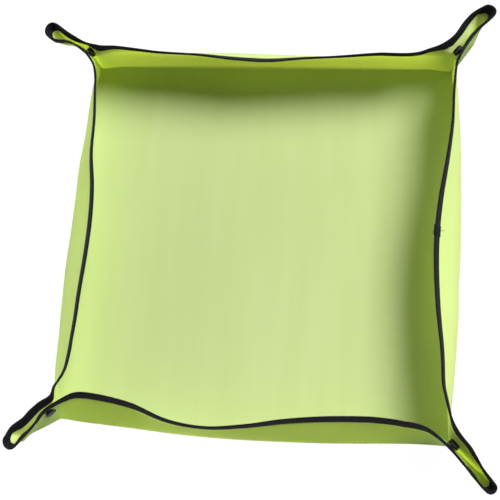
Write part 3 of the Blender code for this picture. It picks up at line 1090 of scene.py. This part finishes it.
def finish_cloth(material):
    finish = Finish(material)
    place, u, v = finish.flat()
    weave = finish.wave(u, WEAVE_PITCH) * finish.wave(v, WEAVE_PITCH)
    streaks = finish.noise(place, (1, 0.08, 1), 38, 3)
    patches = finish.noise(place, (1, 0.5, 1), 7, 2)
    dents = finish.noise(place, (1, 0.25, 1), 22, 2)
    shade = finish.spread(streaks * 0.6 + patches * 0.4, 0.35, 0.65)
    height = weave * WEAVE_DEPTH + streaks * STREAK_DEPTH + dents * DENT_DEPTH
    normal = finish.bump(height, 1.0, DENTS_SHOW)
    finish.surface(
        Base_Color=finish.mix(shade, CLOTH_DEEP, CLOTH_LIGHT),
        Roughness=shade * 0.08 + 0.40, Normal=normal, Specular_IOR_Level=CLOTH_GLOSS,
    )
    coating = Value(finish, finish.tree.nodes["Principled BSDF"].outputs[0])
    glow = {"Color": CLOTH_GLOW, "Normal": normal}
    glow = finish.node("ShaderNodeBsdfTranslucent", {}, glow)
    both = finish.node("ShaderNodeMixShader", {}, {0: GLOW_SHARE, 1: coating, 2: glow})
    finish.set("Material Output", Surface=both)


finish_cloth(cloth)
print("cloth has", len(cloth.node_tree.nodes), "nodes")

# %% [markdown]
# The tape is matte black and ribbed across, like grosgrain. Its edges are a little worn.
# The thread is twisted, and slightly shinier than the tape.

# %% The tape and the thread
TAPE_BLACK = (0.0030, 0.0030, 0.0045, 1)
TAPE_WORN = (0.011, 0.011, 0.016, 1)
TAPE_GLOSS = 0.15
RIB_PITCH, WEFT_PITCH = 0.0007, 0.00098
RIB_DEPTH = 0.00007


def finish_tape(material):
    finish = Finish(material)
    place, u, v = finish.flat()
    ribs, weft = finish.wave(u, RIB_PITCH), finish.wave(v, WEFT_PITCH)
    worn = finish.noise(place, (1, 1, 1), 260, 3)
    light = finish.spread(worn + ribs * 0.12, 0.40, 0.75)
    finish.surface(
        Base_Color=finish.mix(light, TAPE_BLACK, TAPE_WORN), Roughness=0.90 - light * 0.15,
        Normal=finish.bump(ribs + weft * 0.4, RIB_DEPTH), Specular_IOR_Level=TAPE_GLOSS,
    )


def finish_thread(material):
    finish = Finish(material)
    fibres = finish.noise(finish.solid(), (1, 1, 1), 3000, 2)
    finish.surface(
        Base_Color=finish.mix(fibres, TAPE_BLACK, TAPE_WORN), Roughness=0.55 + fibres * 0.2
    )


finish_tape(tape)
finish_thread(thread)
print("tape has", len(tape.node_tree.nodes), "nodes")

# %% [markdown]
# ## The press studs
#
# The CAD's own caps, studs and sockets have the right shape, so they stay and only get
# a better finish: black moulded plastic, smooth with a faint satin grain.

# %% The black plastic
PLASTIC_BLACK = (0.006, 0.006, 0.007, 1)
PLASTIC_SCUFFED = (0.014, 0.014, 0.016, 1)
PLASTIC_GLOSS = 0.3
GRAIN_DEPTH = 0.00002


def finish_plastic(material):
    finish = Finish(material)
    place = finish.solid()
    grain = finish.noise(place, (1, 1, 1), 2500, 2)
    scuffs = finish.noise(place, (1, 1, 0.2), 420, 3)
    finish.surface(
        Base_Color=finish.mix(scuffs, PLASTIC_BLACK, PLASTIC_SCUFFED),
        Roughness=0.46 + scuffs * 0.14, Normal=finish.bump(grain, GRAIN_DEPTH),
        Specular_IOR_Level=PLASTIC_GLOSS,
    )


plastic = material_named("stud_plastic")
finish_plastic(plastic)
for name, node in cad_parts.items():
    if name.startswith("snap_"):
        for slot in node.material_slots:
            slot.material = plastic
print(sum(name.startswith("snap_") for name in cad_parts), "stud mouldings finished")

# %% [markdown]
# ## Sheet sizes
#
# The flat size of each wall's and each ear's cloth is worked out here, but nothing uses it.

for piece in wall_cloths:
    flat = (2 * FOOT - 2 * EAR_SHARE, WALL)
for name, piece in ear_cloths.items():
    flat, wall_name = (WALL + EAR_SHARE, WALL), "wall_cloth_" + name.split("_")[0]

# %% [markdown]
# ## The studio
#
# One soft sun from the back right, a weak low one from the left, a faint white sky, and a
# pale floor. Area lamps would do as well, but a sun's light falls the same on a mat of any
# size. The floor and the sky look white to the camera and in reflections, but they don't
# light the mat any more for that.

# %% Light, floor and camera
CAMERA_PLACE = Vector((0.12413, -0.24881, 1.02706))
CAMERA_RIGHT = Vector((0.9909, 0.0677, -0.1167))
CAMERA_UP = Vector((-0.0395, 0.9727, 0.2285))
CAMERA_LENS = 54.806
SUNS = {  # azimuth, elevation and size in degrees, and strength
    "soft_sun": (42, 48, 36, 4.7),
    "low_fill": (172, 8, 40, 1.9),
}
WHITE = (1, 1, 1, 1)
SKY_STRENGTH = 0.05
FLOOR_PALE = (0.09, 0.09, 0.09, 1)
FLOOR_GLOW = 0.98
GROUND, GROUND_DROP = 6.0, 0.0004

scene = bpy.context.scene
lens = bpy.data.cameras.new("camera")
lens.lens = CAMERA_LENS
camera = bpy.data.objects.new("camera", lens)
scene.collection.objects.link(camera)
back = CAMERA_RIGHT.cross(CAMERA_UP).normalized()
right = CAMERA_UP.cross(back).normalized()
turn = Matrix((right, CAMERA_UP.normalized(), back)).transposed().to_4x4()
camera.matrix_world = Matrix.Translation(CAMERA_PLACE) @ turn
scene.camera = camera

for name, (azimuth, elevation, size, strength) in SUNS.items():
    lamp = bpy.data.lights.new(name, "SUN")
    lamp.energy, lamp.angle = strength, math.radians(size)
    sun = bpy.data.objects.new(name, lamp)
    scene.collection.objects.link(sun)
    a, e = math.radians(azimuth), math.radians(elevation)
    towards = Vector((math.cos(a) * math.cos(e), math.sin(a) * math.cos(e), math.sin(e)))
    sun.rotation_mode = "QUATERNION"
    sun.rotation_quaternion = towards.to_track_quat("Z", "Y")


def seen_rays(finish):
    """1 for rays that see a surface itself: from the camera, or by a mirror or glass, but
    not for the soft light that goes through cloth."""
    direct = finish.node("ShaderNodeLightPath")
    glossy, through, diffuse = (
        finish.more(direct, f"Is {kind} Ray") for kind in ("Glossy", "Transmission", "Diffuse")
    )
    return direct.maths("MAXIMUM", glossy.maths("MAXIMUM", through) * (1 - diffuse))


world = bpy.data.worlds.new("studio")
world.use_nodes = True
scene.world = world
sky = Finish(world)
strength = {"Value": seen_rays(sky), "To Min": SKY_STRENGTH, "To Max": 1.0}
sky.set("Background", Color=WHITE, Strength=sky.node("ShaderNodeMapRange", {}, strength))

ground_mesh = bpy.data.meshes.new("ground")
ground_mesh.from_pydata(
    [(x * GROUND, y * GROUND, -GROUND_DROP) for x, y in ((-1, -1), (1, -1), (1, 1), (-1, 1))],
    [], [(0, 1, 2, 3)],
)
pale = material_named("pale_floor")
ground_mesh.materials.append(pale)
ground = link("ground", ground_mesh)
finish = Finish(pale)
finish.surface(
    Base_Color=FLOOR_PALE, Roughness=0.9, Specular_IOR_Level=0.0,
    Emission_Color=WHITE, Emission_Strength=seen_rays(finish) * FLOOR_GLOW,
)

scene.view_settings.view_transform = "Standard"
print("camera at", tuple(camera.location))
